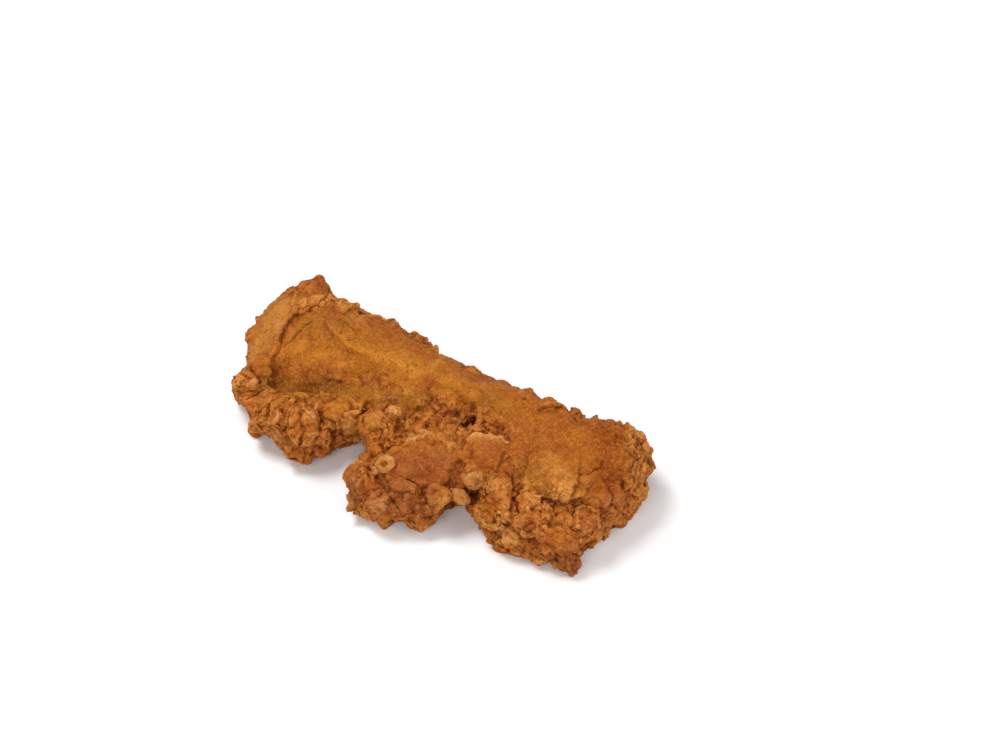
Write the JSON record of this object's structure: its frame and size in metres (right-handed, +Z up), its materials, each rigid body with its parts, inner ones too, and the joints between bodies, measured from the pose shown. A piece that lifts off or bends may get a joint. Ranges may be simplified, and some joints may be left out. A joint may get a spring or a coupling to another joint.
{
  "type": "chicken tender",
  "caption": "Fried chicken tender, a long strip with a rolled end, a side flap, lobes and a small drip, in a craggy golden-brown flour crust, lying flat.",
  "frame": {"origin": "on the table plane, at the bottom centre of the bounding box", "axes": "+X along the strip towards the end with the drip, +Y towards the straight back, -Y towards the lobes, +Z up out of the table"},
  "size_m": [0.1204, 0.059, 0.0239],
  "materials": {
    "crust": "craggy fried flour crust, golden to reddish brown, dry with small oily glints"
  },
  "bodies": {
    "root": {"tender": "crust"}
  },
  "joints": []
}
